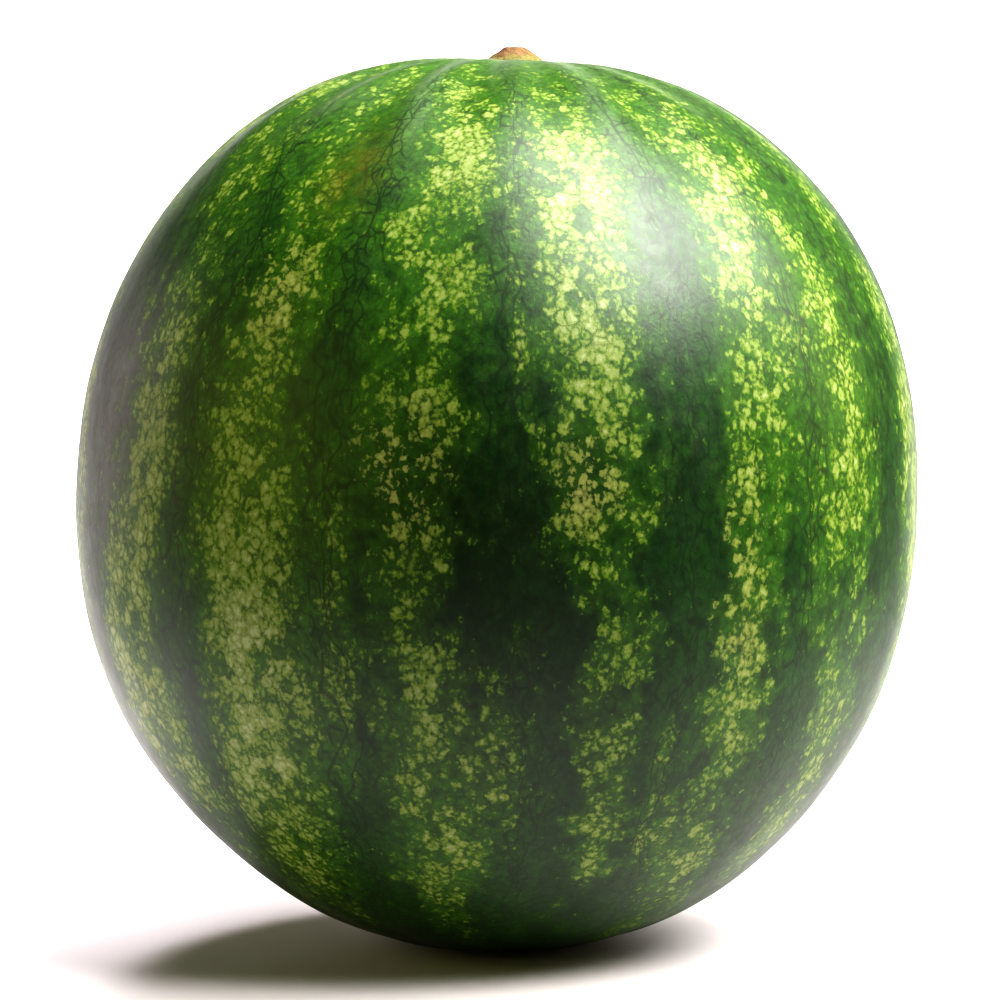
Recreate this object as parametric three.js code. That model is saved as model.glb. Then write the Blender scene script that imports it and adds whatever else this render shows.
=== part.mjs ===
// A whole round watermelon, standing on its blossom end with the stem end up.
// Millimetres, +Z up. The origin is the centre of the flat spot that it rests on, on the stem axis.
// Longitude is counted round the stem axis from the front (-Y) towards the right (+X), and the polar
// angle is counted at the middle of the fruit, from the stem end (0) down to the blossom end (180).
import * as THREE from "three";
import { mergeVertices } from "three/addons/utils/BufferGeometryUtils.js";

const rad = THREE.MathUtils.degToRad;

// Driving dimensions.
const fruit = {
  girthRadius: 125, // at its widest line
  crownHeight: 128.6, // widest line to the stem end, before its hollow
  baseHeight: 135.9, // widest line to where the blossom end would close
  crownFullness: 2.22, // exponent of the outline above the widest line: 2 is an ellipse, more is squarer
  baseFullness: 2.12,
  footRadius: 19, // the small flat spot under the blossom end
  foldsRound: 128,
  ringsAbove: 21,
  ringsBelow: 16,
};

// The hollow at the stem end, and the seat in it that holds the root of the stub.
const stemHollow = { depth: 2.6, radius: 15 };
const seat = { radius: 9.3, depth: 2 };

// The stem end sits a little off the middle of the crown, towards the right.
const stemShift = { right: 5.5, fade: 55 };

// The shallow pit of the blossom scar, inside the flat spot.
const blossomPit = { radius: 7.5, floorRadius: 4, depth: 1.6 };

// Sixteen soft ribs, one for each dark band of the rind: clear near the stem end, faint elsewhere,
// and strongest on the left of the front.
const ribs = {
  count: 16,
  start: rad(2),
  crown: { height: 0.5, at: rad(25), spread: rad(12) },
  body: { height: 0.2 },
  base: { height: 0.25, at: rad(158), spread: rad(10) },
  strongest: rad(-50),
  unevenness: 0.4,
};

// Slow unevenness of a fruit that grew in a field: an oval girth and a few flats and swellings.
const oval = { height: 0.5, along: rad(40) };
const swellings = [
  { height: -3.2, longitude: rad(-92), polar: rad(143), spread: rad(18) },
  { height: -2, longitude: rad(-88), polar: rad(58), spread: rad(28) },
  { height: 2.5, longitude: rad(-72), polar: rad(24), spread: rad(17) },
  { height: -0.5, longitude: rad(80), polar: rad(15), spread: rad(11) },
  { height: -1, longitude: rad(88), polar: rad(136), spread: rad(14) },
  { height: -1.6, longitude: rad(165), polar: rad(118), spread: rad(30) },
];

// The corky stub that is left of the stem.
const stub = {
  rootRadius: 9,
  topRadius: 2.9,
  height: 5.2, // above the mouth of its seat
  scarDepth: 0.7,
  gap: 0.3, // clear of the seat all round
  folds: 36,
  furrows: 7,
  furrowDepth: 0.4,
};

const baseCut = (1 - (fruit.footRadius / fruit.girthRadius) ** fruit.baseFullness) ** (1 / fruit.baseFullness);
const girthLevel = fruit.baseHeight * baseCut; // height of the widest line above the flat spot

// A bell that is 1 at its middle and fades smoothly on both sides.
function bell(distance, spread) {
  return Math.exp(-((distance / spread) ** 2));
}

// Height of the crown above the widest line, at a distance from the stem axis.
function crownAt(radius) {
  const share = 1 - (radius / fruit.girthRadius) ** fruit.crownFullness;
  const dome = fruit.crownHeight * share ** (1 / fruit.crownFullness);
  return dome - stemHollow.depth * bell(radius, stemHollow.radius);
}

// How much of the stem's shift the crown takes up, at a distance from the stem axis.
function stemShare(radius) {
  return bell(Math.max(radius - seat.radius, 0), stemShift.fade);
}

// How far the rind stands out from the plain outline there.
function rindLift(longitude, polar) {
  const wave = Math.cos(ribs.count * (longitude - ribs.start));
  const strength = 1 + ribs.unevenness * Math.cos(longitude - ribs.strongest);
  const ribHeight =
    ribs.crown.height * strength * bell(polar - ribs.crown.at, ribs.crown.spread) +
    ribs.body.height * Math.sin(polar) +
    ribs.base.height * bell(polar - ribs.base.at, ribs.base.spread);
  let lift = wave * ribHeight + oval.height * Math.cos(2 * (longitude - oval.along)) * Math.sin(polar) ** 2;
  for (const swelling of swellings) {
    const between =
      Math.cos(polar) * Math.cos(swelling.polar) +
      Math.sin(polar) * Math.sin(swelling.polar) * Math.cos(longitude - swelling.longitude);
    lift += swelling.height * bell(Math.acos(THREE.MathUtils.clamp(between, -1, 1)), swelling.spread);
  }
  return lift;
}

// The outline from the blossom pit round to the stem seat, as points at (distance from the axis, height).
function fruitOutline() {
  const points = [
    new THREE.Vector2(0, blossomPit.depth),
    new THREE.Vector2(blossomPit.floorRadius, blossomPit.depth),
    new THREE.Vector2(blossomPit.radius, 0),
    new THREE.Vector2((blossomPit.radius + fruit.footRadius) / 2, 0),
  ];
  const footTurn = Math.asin(baseCut ** (fruit.baseFullness / 2));
  for (let i = 0; i < fruit.ringsBelow; i++) {
    const turn = footTurn * (1 - i / fruit.ringsBelow);
    const drop = fruit.baseHeight * Math.sin(turn) ** (2 / fruit.baseFullness);
    const radius = fruit.girthRadius * Math.cos(turn) ** (2 / fruit.baseFullness);
    points.push(new THREE.Vector2(radius, girthLevel - drop));
  }
  const seatTurn = Math.acos((seat.radius / fruit.girthRadius) ** (fruit.crownFullness / 2));
  for (let i = 0; i <= fruit.ringsAbove; i++) {
    const turn = seatTurn * Math.sin((Math.PI / 2) * (i / fruit.ringsAbove));
    const radius = fruit.girthRadius * Math.cos(turn) ** (2 / fruit.crownFullness);
    points.push(new THREE.Vector2(radius, girthLevel + crownAt(radius)));
  }
  const seatFloor = girthLevel + crownAt(seat.radius) - seat.depth;
  points.push(new THREE.Vector2(seat.radius, seatFloor));
  points.push(new THREE.Vector2(0, seatFloor));
  return points;
}

// A closed solid turned from an outline about the Z axis.
function turned(outline, folds) {
  const geometry = new THREE.LatheGeometry(outline, folds);
  geometry.rotateX(Math.PI / 2);
  geometry.deleteAttribute("normal");
  geometry.deleteAttribute("uv");
  return mergeVertices(geometry, 1e-3);
}

function fruitGeometry() {
  const geometry = turned(fruitOutline(), fruit.foldsRound);
  const position = geometry.getAttribute("position");
  const middle = new THREE.Vector3(0, 0, girthLevel);
  const point = new THREE.Vector3();
  for (let i = 0; i < position.count; i++) {
    point.fromBufferAttribute(position, i);
    const radius = Math.hypot(point.x, point.y);
    const onFoot = point.z <= blossomPit.depth && radius < fruit.footRadius + 1;
    if (onFoot) continue;
    const onCrown = point.z > girthLevel;
    const inSeat = onCrown && radius < seat.radius + 1;
    if (!inSeat) {
      const out = point.clone().sub(middle);
      const lift = rindLift(Math.atan2(out.x, -out.y), Math.acos(out.z / out.length()));
      point.addScaledVector(out.normalize(), lift);
    }
    if (onCrown) point.x += stemShift.right * stemShare(radius);
    position.setXYZ(i, point.x, point.y, point.z);
  }
  geometry.computeVertexNormals();
  return geometry;
}

// The stub: a plug in the seat, then a low cone with a sunken scar on top and shallow furrows down its side.
function stubGeometry() {
  const outline = [
    new THREE.Vector2(0, stub.gap - seat.depth),
    new THREE.Vector2(stub.rootRadius - 0.6, stub.gap - seat.depth),
    new THREE.Vector2(stub.rootRadius, stub.gap - seat.depth + 0.6),
    new THREE.Vector2(stub.rootRadius, 0),
  ];
  const flank = new THREE.SplineCurve([
    new THREE.Vector2(stub.rootRadius, 0),
    new THREE.Vector2(stub.rootRadius * 0.93, stub.height * 0.26),
    new THREE.Vector2(stub.rootRadius * 0.75, stub.height * 0.5),
    new THREE.Vector2(stub.rootRadius * 0.53, stub.height * 0.77),
    new THREE.Vector2(stub.topRadius * 1.2, stub.height * 0.96),
    new THREE.Vector2(stub.topRadius, stub.height),
  ]);
  outline.push(...flank.getPoints(9).slice(1));
  outline.push(new THREE.Vector2(stub.topRadius * 0.6, stub.height - stub.scarDepth));
  outline.push(new THREE.Vector2(0, stub.height - stub.scarDepth));
  const geometry = turned(outline, stub.folds);
  const position = geometry.getAttribute("position");
  for (let i = 0; i < position.count; i++) {
    const [x, y, z] = [position.getX(i), position.getY(i), position.getZ(i)];
    const longitude = Math.atan2(x, -y);
    const rise = THREE.MathUtils.smoothstep(z, 0, stub.height * 0.6);
    const furrow = stub.furrowDepth * rise * (0.5 - 0.5 * Math.cos(stub.furrows * longitude));
    const radius = Math.hypot(x, y);
    const narrowed = radius > stub.topRadius / 2 ? 1 - furrow / radius : 1;
    position.setXYZ(i, x * narrowed, y * narrowed, z);
  }
  geometry.computeVertexNormals();
  return geometry;
}

const rind = new THREE.MeshStandardMaterial({ color: 0x2f5a1c, roughness: 0.42, metalness: 0 });
const cork = new THREE.MeshStandardMaterial({ color: 0xb98a55, roughness: 0.8, metalness: 0 });

const fruitMesh = new THREE.Mesh(fruitGeometry(), rind);
fruitMesh.name = "fruit";

const stubMesh = new THREE.Mesh(stubGeometry(), cork);
stubMesh.name = "stem_stub";
stubMesh.position.set(stemShift.right, 0, girthLevel + crownAt(seat.radius));

const watermelon = new THREE.Group();
watermelon.add(fruitMesh, stubMesh);

export default watermelon;
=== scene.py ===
import bisect
import math
import random

import bmesh
import bpy
from mathutils import Matrix, Vector, noise


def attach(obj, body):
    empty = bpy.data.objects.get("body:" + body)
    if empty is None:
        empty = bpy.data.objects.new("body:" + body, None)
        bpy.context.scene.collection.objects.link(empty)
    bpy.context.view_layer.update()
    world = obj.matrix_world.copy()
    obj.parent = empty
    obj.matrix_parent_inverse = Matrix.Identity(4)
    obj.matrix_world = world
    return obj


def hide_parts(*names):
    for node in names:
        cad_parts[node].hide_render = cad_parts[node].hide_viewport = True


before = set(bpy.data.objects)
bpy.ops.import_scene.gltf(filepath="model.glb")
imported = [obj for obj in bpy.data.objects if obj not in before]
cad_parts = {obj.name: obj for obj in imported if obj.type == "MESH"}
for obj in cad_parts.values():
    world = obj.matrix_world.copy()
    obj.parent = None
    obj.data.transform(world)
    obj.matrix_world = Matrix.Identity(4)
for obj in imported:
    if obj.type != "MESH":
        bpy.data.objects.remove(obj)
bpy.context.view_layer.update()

mm = 0.001


# small helpers for shader trees
def newMaterial(name):
    material = bpy.data.materials.new(name)
    material.use_nodes = True
    tree = material.node_tree
    tree.nodes.clear()
    output = tree.nodes.new("ShaderNodeOutputMaterial")
    shader = tree.nodes.new("ShaderNodeBsdfPrincipled")
    tree.links.new(shader.outputs["BSDF"], output.inputs["Surface"])
    return material, tree, shader


def plug(tree, value, socket):
    # a socket takes either another node's output or a plain value
    if isinstance(value, bpy.types.NodeSocket):
        tree.links.new(value, socket)
    else:
        socket.default_value = value


def calc(tree, operation, a, b=0.0, c=None, clamp=False):
    node = tree.nodes.new("ShaderNodeMath")
    node.operation = operation
    node.use_clamp = clamp
    plug(tree, a, node.inputs[0])
    plug(tree, b, node.inputs[1])
    if c is not None:
        plug(tree, c, node.inputs[2])
    return node.outputs[0]


def fade(tree, value, low, high, toLow=0.0, toHigh=1.0):
    # smooth step from toLow at low to toHigh at high
    node = tree.nodes.new("ShaderNodeMapRange")
    node.interpolation_type = "SMOOTHSTEP"
    plug(tree, value, node.inputs["Value"])
    node.inputs["From Min"].default_value = low
    node.inputs["From Max"].default_value = high
    node.inputs["To Min"].default_value = toLow
    node.inputs["To Max"].default_value = toHigh
    return node.outputs["Result"]


def blendColour(tree, share, first, second, mode="MIX"):
    node = tree.nodes.new("ShaderNodeMix")
    node.data_type = "RGBA"
    node.blend_type = mode
    plug(tree, share, node.inputs[0])
    plug(tree, first if isinstance(first, bpy.types.NodeSocket) else (*first, 1), node.inputs[6])
    plug(tree, second if isinstance(second, bpy.types.NodeSocket) else (*second, 1), node.inputs[7])
    return node.outputs[2]


def grey(tree, value):
    node = tree.nodes.new("ShaderNodeCombineColor")
    for socket in node.inputs[:3]:
        plug(tree, value, socket)
    return node.outputs[0]


def cloud(tree, place, size, detail=2.0, rough=0.5, offset=0.0):
    # size is the width of its features in metres
    node = tree.nodes.new("ShaderNodeTexNoise")
    if offset:
        shift = tree.nodes.new("ShaderNodeVectorMath")
        shift.operation = "ADD"
        tree.links.new(place, shift.inputs[0])
        shift.inputs[1].default_value = (offset, -offset * 0.7, offset * 1.3)
        place = shift.outputs[0]
    tree.links.new(place, node.inputs["Vector"])
    node.inputs["Scale"].default_value = 1 / size
    node.inputs["Detail"].default_value = detail
    node.inputs["Roughness"].default_value = rough
    return node.outputs["Fac"]


def cells(tree, place, size, feature="F1"):
    node = tree.nodes.new("ShaderNodeTexVoronoi")
    node.feature = feature
    tree.links.new(place, node.inputs["Vector"])
    node.inputs["Scale"].default_value = 1 / size
    return node


def bentPlace(tree, place, size, reach, offset=0.0, detail=0.0):
    # Object coordinates pushed about by a soft cloud, so that cells and veins lose their straight sides
    node = tree.nodes.new("ShaderNodeTexNoise")
    shift = tree.nodes.new("ShaderNodeVectorMath")
    shift.operation = "ADD"
    tree.links.new(place, shift.inputs[0])
    shift.inputs[1].default_value = (offset, offset * 1.7, -offset)
    tree.links.new(shift.outputs[0], node.inputs["Vector"])
    node.inputs["Scale"].default_value = 1 / size
    node.inputs["Detail"].default_value = detail
    centred = tree.nodes.new("ShaderNodeVectorMath")
    centred.operation = "SUBTRACT"
    tree.links.new(node.outputs["Color"], centred.inputs[0])
    centred.inputs[1].default_value = (0.5, 0.5, 0.5)
    push = tree.nodes.new("ShaderNodeVectorMath")
    push.operation = "MULTIPLY_ADD"
    tree.links.new(centred.outputs[0], push.inputs[0])
    push.inputs[1].default_value = (2 * reach, 2 * reach, 2 * reach)
    tree.links.new(place, push.inputs[2])
    return push.outputs[0]


def addBump(tree, shader, relief, height):
    bump = tree.nodes.new("ShaderNodeBump")
    bump.inputs["Strength"].default_value = 1
    bump.inputs["Distance"].default_value = height
    tree.links.new(relief, bump.inputs["Height"])
    tree.links.new(bump.outputs[0], shader.inputs["Normal"])


# the camera comes first
camera = {
    "distance": 1.3,
    "elevation": 4,  # degrees above the horizon
    "lens": 157.25,
    "sensor": 36,
    "pivot": (0, 0, 0.133),  # the point it is moved away from
    "aim": (0.0012, 0, 0.1324),
    "clip": (0.05, 60),
}


def makeCamera():
    lens = bpy.data.cameras.new("camera")
    lens.lens = camera["lens"]
    lens.sensor_width = camera["sensor"]
    lens.clip_start, lens.clip_end = camera["clip"]
    holder = bpy.data.objects.new("camera", lens)
    bpy.context.scene.collection.objects.link(holder)
    tilt = math.radians(camera["elevation"])
    away = Vector((0, -math.cos(tilt), math.sin(tilt)))
    holder.location = Vector(camera["pivot"]) + camera["distance"] * away
    look = Vector(camera["aim"]) - holder.location
    holder.rotation_euler = look.to_track_quat("-Z", "Y").to_euler()
    bpy.context.scene.camera = holder


makeCamera()
print("camera placed")


# the fruit
fruit = {
    "girthRadius": 125 * mm,
    "crownHeight": 128.6 * mm,
    "baseHeight": 135.9 * mm,
    "crownFullness": 2.22,
    "baseFullness": 2.12,
    "footRadius": 19 * mm,
    "hollowDepth": 2.6 * mm,
    "hollowRadius": 15 * mm,
    "seatRadius": 9.3 * mm,
    "seatDepth": 2 * mm,
    "stemShift": 5.5 * mm,  # towards +X
    "stemFade": 55 * mm,
    "pitRadius": 7.5 * mm,
    "pitFloor": 4 * mm,
    "pitDepth": 1.6 * mm,
    "stepsRound": 400,
    "ringsAbove": 128,
    "ringsBelow": 100,
    "crownCrowding": 0.9,  # under 1 sets the rings a little closer together towards the stem seat
    "seatTaper": 0.1 * mm,
    "seatLip": 0.5 * mm,
    "footRings": 8,
    "pitRings": 4,
    "floorRings": 3,
    "calmWidth": 22 * mm,  # the waviness dies out over this width round the seat and the flat spot
    "widening": 0.7,  # how fast the unrolled rind widens with the distance from the axis
    "downScale": 0.85,  # and how much it is shortened from stem to blossom end
    "footMargin": 0.1 * mm,  # what lies this close to the flat spot or to the seat stays unlifted
    "seatMargin": 0.05 * mm,
    "oval": {"height": 0.5 * mm, "along": math.radians(40)},
    "lumps": {"height": 0.16 * mm, "size": 17 * mm},  # the slow waviness that breaks up a shine
    "ribs": {
        "count": 16,
        "start": math.radians(2),
        "crown": (0.5 * mm, math.radians(25), math.radians(12)),  # height, polar angle, spread
        "body": 0.2 * mm,
        "base": (0.25 * mm, math.radians(158), math.radians(10)),
        "strongest": math.radians(-50),
        "unevenness": 0.4,
    },
    # height in mm, longitude, polar angle and spread in degrees
    "swellings": [
        (-3.2, -92, 143, 18),
        (-2, -88, 58, 28),
        (2.5, -72, 24, 17),
        (-0.5, 80, 15, 11),
        (-1, 88, 136, 14),
        (-1.6, 165, 118, 30),
    ],
    # The stripes of the far side keep the same rhythm as the others and wander in the same way.
    "farSide": {
        "longitudes": (95, 117, 139, 162, 184, 207, 229, 253, 279),
        "seed": 7,
        "points": 19,
        "firstDown": 28,  # mm down the rind from the stem
        "step": 20.5,
        "length": 400,
        "fadeFrom": 300,
        "fadeOver": 110,
        "drift": (3, 2),  # degrees, at the start and from point to point
        "keptDrift": 0.7,
        "narrow": 4,
        "widening": 8,
        "fullness": 0.6,  # under 1 keeps a stripe wide for more of its length
        "waver": 2,
        "strength": (0.64, -0.16, 0.2),  # middle value, and how far it may fall or rise
        "faintest": 0.1,
    },
    # how a stripe begins, in mm, and how its sides fade, in half widths
    "stripeEdge": {"start": 10, "outer": 2, "soft": 1.7},
    # Soft spots: distance down the rind in mm, longitude in degrees, reach in mm, amount.
    # Buff is dry tan rind, brown is a stain and ground is where it lay in the field.
    # Painted shade darkens the green in a patch on the front, about the widest line and below it, and lush
    # brightens it.
    "spots": {
        "buff": [(140, -33, 13, 0.5), (190, -12, 12, 0.8), (214, 29, 14, 0.5), (192, 11, 9, 0.7),
                 (236, 33, 10, 0.4), (150, 160, 18, 0.8), (240, -150, 20, 0.7)],
        "brown": [(98, -26, 11, 0.8), (120, 140, 10, 0.6)],
        "ground": [(264, 176, 36, 1)],
        # painted shade: a dark patch on the front, about the widest line and below it
        "paintedShade": [(212, 0, 36, 0.6), (236, 7, 30, 0.45), (196, 24, 18, 0.3)],
        "lush": [(60, -20, 45, 0.6), (64, -50, 34, 0.5), (40, 30, 30, 0.5), (130, -22, 26, 0.7),
                 (150, 45, 34, 0.85), (120, 61, 26, 0.8), (196, 43, 22, 0.4), (205, -36, 26, 0.4),
                 (205, -21, 26, 0.75), (150, 2, 30, 0.5), (262, -22, 22, 0.5), (170, 27, 20, 0.5),
                 (90, 120, 40, 0.6), (180, -150, 36, 0.6), (150, 200, 34, 0.6), (220, 100, 30, 0.5)],
    },
    # how far a spot is drawn out down the fruit, and the share of the girth it is measured on
    "spotShape": {"down": 0.7, "girth": 0.9},
}

# Pale stripes, each as points down the rind from the stem: distance from the stem axis in mm,
# longitude in degrees, half width in mm and strength of the mottling.
stripes = [
    [(30, -66, 4, 0.5), (60, -60, 7, 0.55), (84, -57, 10, 0.6), (104, -52, 10, 0.62),
     (124, -50, 10, 0.5), (144, -50.5, 11, 0.6), (164, -53.5, 12, 0.7), (184, -52, 13, 0.8),
     (204, -54, 13, 0.84), (224, -57, 14, 0.82), (244, -60, 14, 0.82), (264, -60, 14, 0.8),
     (284, -58, 13, 0.74), (304, -54, 12, 0.62), (330, -52, 10, 0.45), (400, -50, 4, 0.1)],
    [(34, -43, 4, 0.35), (44, -38, 6, 0.42), (56, -35, 7, 0.5), (70, -34, 9, 0.56), (84, -34, 10, 0.5),
     (104, -31, 10, 0.45), (118, -29, 10, 0.54), (134, -31.5, 11, 0.58), (150, -33, 12, 0.62),
     (168, -34.5, 12, 0.68), (190, -33, 13, 0.74), (204, -34, 13, 0.8), (220, -34, 13, 0.86),
     (236, -34, 13, 0.98), (256, -34, 14, 1), (272, -35, 14, 1), (290, -37, 14, 0.92),
     (304, -38, 13, 0.68), (324, -40, 12, 0.58), (350, -42, 8, 0.35), (400, -42, 3, 0.1)],
    [(26, -19, 4, 0.35), (40, -16, 7, 0.5), (52, -11, 9, 0.6), (66, -8, 9, 0.66), (76, -6.5, 9, 0.7),
     (94, -8, 11, 0.76), (108, -8, 11, 0.72), (118, -11, 12, 0.66), (134, -9, 12, 0.64),
     (150, -9, 12, 0.54), (170, -10, 12, 0.52), (190, -11, 11, 0.46), (210, -10, 11, 0.44),
     (230, -11, 10, 0.46), (250, -8, 14, 0.62), (270, -7, 16, 0.7), (290, -7, 16, 0.66),
     (306, -10, 13, 0.66), (316, -9, 12, 0.6), (336, -10, 8, 0.35), (400, -10, 3, 0.1)],
    [(30, 13, 4, 0.35), (46, 13, 7, 0.5), (62, 14, 8, 0.62), (78, 13, 9, 0.74), (92, 14, 12, 0.82),
     (104, 13, 11, 0.84), (120, 12.5, 11, 0.88), (136, 13, 11, 0.92), (150, 12, 10, 0.9),
     (164, 12.5, 10, 0.72), (184, 13.5, 12, 0.62), (196, 13.5, 12, 0.64), (216, 14.5, 11, 0.5),
     (236, 17, 9, 0.46), (252, 15, 9, 0.5), (272, 15.5, 6, 0.56), (292, 17, 7, 0.6), (308, 18, 6, 0.5),
     (330, 16, 4, 0.25), (400, 16, 2, 0.05)],
    [(44, 31, 4, 0.4), (60, 34, 8, 0.5), (80, 38, 10, 0.66), (100, 40, 10, 0.76), (118, 39, 11, 0.78),
     (138, 37.5, 11, 0.72), (148, 38.5, 11, 0.7), (164, 38.5, 11, 0.7), (180, 37.5, 11, 0.66),
     (196, 35.5, 10, 0.6), (214, 35, 9, 0.58), (232, 35, 9, 0.58), (246, 34.5, 10, 0.54),
     (262, 35.5, 11, 0.58), (278, 34, 11, 0.54), (300, 33, 12, 0.54), (318, 39, 10, 0.55),
     (334, 43, 9, 0.5), (400, 43, 3, 0.1)],
    [(40, 54, 4, 0.4), (56, 50, 7, 0.5), (68, 50, 9, 0.6), (84, 49, 10, 0.66), (104, 49, 10, 0.68),
     (122, 49.5, 10, 0.66), (136, 50.5, 10, 0.64), (150, 51.5, 12, 0.64), (160, 52, 13, 0.64),
     (178, 52, 14, 0.6), (194, 52, 14, 0.6), (210, 52.5, 13, 0.56), (230, 53.5, 12, 0.48),
     (246, 54.5, 12, 0.46), (272, 57, 11, 0.52), (290, 58, 11, 0.58), (308, 58, 10, 0.5),
     (330, 58, 8, 0.35), (400, 58, 3, 0.1)],
    [(50, 75, 5, 0.5), (100, 71, 9, 0.58), (124, 71, 11, 0.64), (144, 73, 11, 0.66),
     (164, 75, 12, 0.74), (184, 76, 14, 0.92), (200, 75, 14, 0.96), (220, 76, 12, 0.8),
     (250, 78, 11, 0.6), (280, 79, 10, 0.55), (310, 80, 9, 0.45), (400, 80, 3, 0.1)],
]

# thin broken threads in the dark bands, written the same way
threads = [
    [(50, 1.5, 1.4, 0.1), (70, 2.2, 1.6, 0.4), (110, 2.4, 1.8, 0.55), (150, 3, 2, 0.56),
     (180, 5, 2, 0.45), (200, 6, 1.4, 0)],
    [(170, -21, 2, 0), (190, -21.5, 4, 0.45), (230, -21, 5, 0.5), (280, -22, 4, 0.42), (300, -22, 3, 0)],
    [(110, -59, 2, 0), (130, -59, 2, 0.45), (170, -60, 2, 0.45), (190, -60, 1, 0)],
    [(34, -58, 3, 0.3), (60, -47, 3, 0.6), (80, -46, 3, 0.5), (96, -45, 2, 0)],
    [(250, 24, 2, 0), (270, 24, 3, 0.5), (300, 25, 3, 0.5), (320, 26, 2, 0)],
    [(96, 125, 2, 0), (120, 126, 2, 0.5), (190, 128, 2, 0.5), (220, 128, 1, 0)],
    [(120, 218, 2, 0), (140, 218, 2, 0.5), (210, 220, 3, 0.5), (240, 221, 1, 0)],
]

# soft ridges on the crown, each with a painted highlight along its crest, written the same way
ridgesWithPaintedHighlight = [
    [(24, -34, 1.5, 0.2), (40, -28, 2, 0.8), (56, -23, 2.4, 0.9), (76, -20, 2.6, 0.6), (100, -19, 3, 0)],
    [(30, -58, 1.5, 0.2), (50, -48, 2, 0.7), (70, -45, 2.4, 0.6), (95, -44, 3, 0)],
    [(24, -8, 1.5, 0.3), (36, -6, 2, 0.5), (50, -3, 2.4, 0.3), (64, -2, 3, 0)],
    [(24, 22, 2, 0.3), (44, 24, 3, 0.5), (70, 25, 3, 0.4), (110, 26, 3, 0)],
    [(26, 92, 2, 0.3), (50, 94, 3, 0.5), (90, 95, 3, 0)],
    [(26, 150, 2, 0.3), (50, 151, 3, 0.5), (90, 150, 3, 0)],
    [(26, 230, 2, 0.3), (50, 231, 3, 0.5), (90, 230, 3, 0)],
]

def farStripe(longitude, dice):
    facts = fruit["farSide"]
    points = []
    startDrift, stepDrift = facts["drift"]
    usual, fall, rise = facts["strength"]
    drift = dice.uniform(-startDrift, startDrift)
    for i in range(facts["points"]):
        down = facts["firstDown"] + i * facts["step"]
        fullness = math.sin(math.pi * min(1, down / facts["length"])) ** facts["fullness"]
        drift = facts["keptDrift"] * drift + dice.uniform(-stepDrift, stepDrift)
        waver = dice.uniform(-facts["waver"], facts["waver"])
        halfWidth = facts["narrow"] + facts["widening"] * fullness + waver
        left = max(facts["faintest"], 1 - max(0, down - facts["fadeFrom"]) / facts["fadeOver"])
        points.append((down, longitude + drift, halfWidth, (usual + dice.uniform(fall, rise)) * left))
    return points


dice = random.Random(fruit["farSide"]["seed"])
for longitude in fruit["farSide"]["longitudes"]:
    stripes.append(farStripe(longitude, dice))
stripes.sort(key=lambda path: path[len(path) // 2][1] % 360)


def bell(distance, spread):
    return math.exp(-((distance / spread) ** 2))


footShare = (fruit["footRadius"] / fruit["girthRadius"]) ** fruit["baseFullness"]
baseCut = (1 - footShare) ** (1 / fruit["baseFullness"])
girthLevel = fruit["baseHeight"] * baseCut  # height of the widest line above the flat spot


def crownAt(radius):
    share = 1 - (radius / fruit["girthRadius"]) ** fruit["crownFullness"]
    dome = fruit["crownHeight"] * share ** (1 / fruit["crownFullness"])
    return dome - fruit["hollowDepth"] * bell(radius, fruit["hollowRadius"])


seatMouth = girthLevel + crownAt(fruit["seatRadius"])  # height at which the stub's seat opens


def rindLift(longitude, polar):
    ribs, oval = fruit["ribs"], fruit["oval"]
    wave = math.cos(ribs["count"] * (longitude - ribs["start"]))
    strength = 1 + ribs["unevenness"] * math.cos(longitude - ribs["strongest"])
    crownHeight, crownPolar, crownSpread = ribs["crown"]
    baseHeight, basePolar, baseSpread = ribs["base"]
    lift = wave * (
        crownHeight * strength * bell(polar - crownPolar, crownSpread)
        + ribs["body"] * math.sin(polar)
        + baseHeight * bell(polar - basePolar, baseSpread)
    )
    lift += oval["height"] * math.cos(2 * (longitude - oval["along"])) * math.sin(polar) ** 2
    for height, atLongitude, atPolar, spread in fruit["swellings"]:
        atPolar = math.radians(atPolar)
        turn = longitude - math.radians(atLongitude)
        between = math.cos(polar) * math.cos(atPolar) + math.sin(polar) * math.sin(atPolar) * math.cos(turn)
        lift += height * mm * bell(math.acos(max(-1, min(1, between))), math.radians(spread))
    return lift


def fruitOutline():
    # distance from the axis and height, from the blossom pit round to the stem seat
    floorRings, pitRings, footRings = fruit["floorRings"], fruit["pitRings"], fruit["footRings"]
    points = [(fruit["pitFloor"] * i / floorRings, fruit["pitDepth"]) for i in range(floorRings + 1)]
    for i in range(1, pitRings + 1):
        share = i / pitRings
        rise = 0.5 + 0.5 * math.cos(math.pi * share)
        radius = fruit["pitFloor"] + (fruit["pitRadius"] - fruit["pitFloor"]) * share
        points.append((radius, fruit["pitDepth"] * rise))
    for i in range(1, footRings):
        radius = fruit["pitRadius"] + (fruit["footRadius"] - fruit["pitRadius"]) * i / footRings
        points.append((radius, 0))
    footTurn = math.asin(baseCut ** (fruit["baseFullness"] / 2))
    for i in range(fruit["ringsBelow"]):
        turn = footTurn * (1 - i / fruit["ringsBelow"])
        drop = fruit["baseHeight"] * math.sin(turn) ** (2 / fruit["baseFullness"])
        radius = fruit["girthRadius"] * math.cos(turn) ** (2 / fruit["baseFullness"])
        points.append((radius, girthLevel - drop))
    seatTurn = math.acos((fruit["seatRadius"] / fruit["girthRadius"]) ** (fruit["crownFullness"] / 2))
    for i in range(fruit["ringsAbove"] + 1):
        turn = seatTurn * math.sin(math.pi / 2 * (i / fruit["ringsAbove"]) ** fruit["crownCrowding"])
        radius = fruit["girthRadius"] * math.cos(turn) ** (2 / fruit["crownFullness"])
        points.append((radius, girthLevel + crownAt(radius)))
    wall = fruit["seatRadius"] - fruit["seatTaper"]
    seatFloor = seatMouth - fruit["seatDepth"]
    points.extend([(wall, seatMouth - fruit["seatLip"]), (wall, seatFloor), (0, seatFloor)])
    return points


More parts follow.
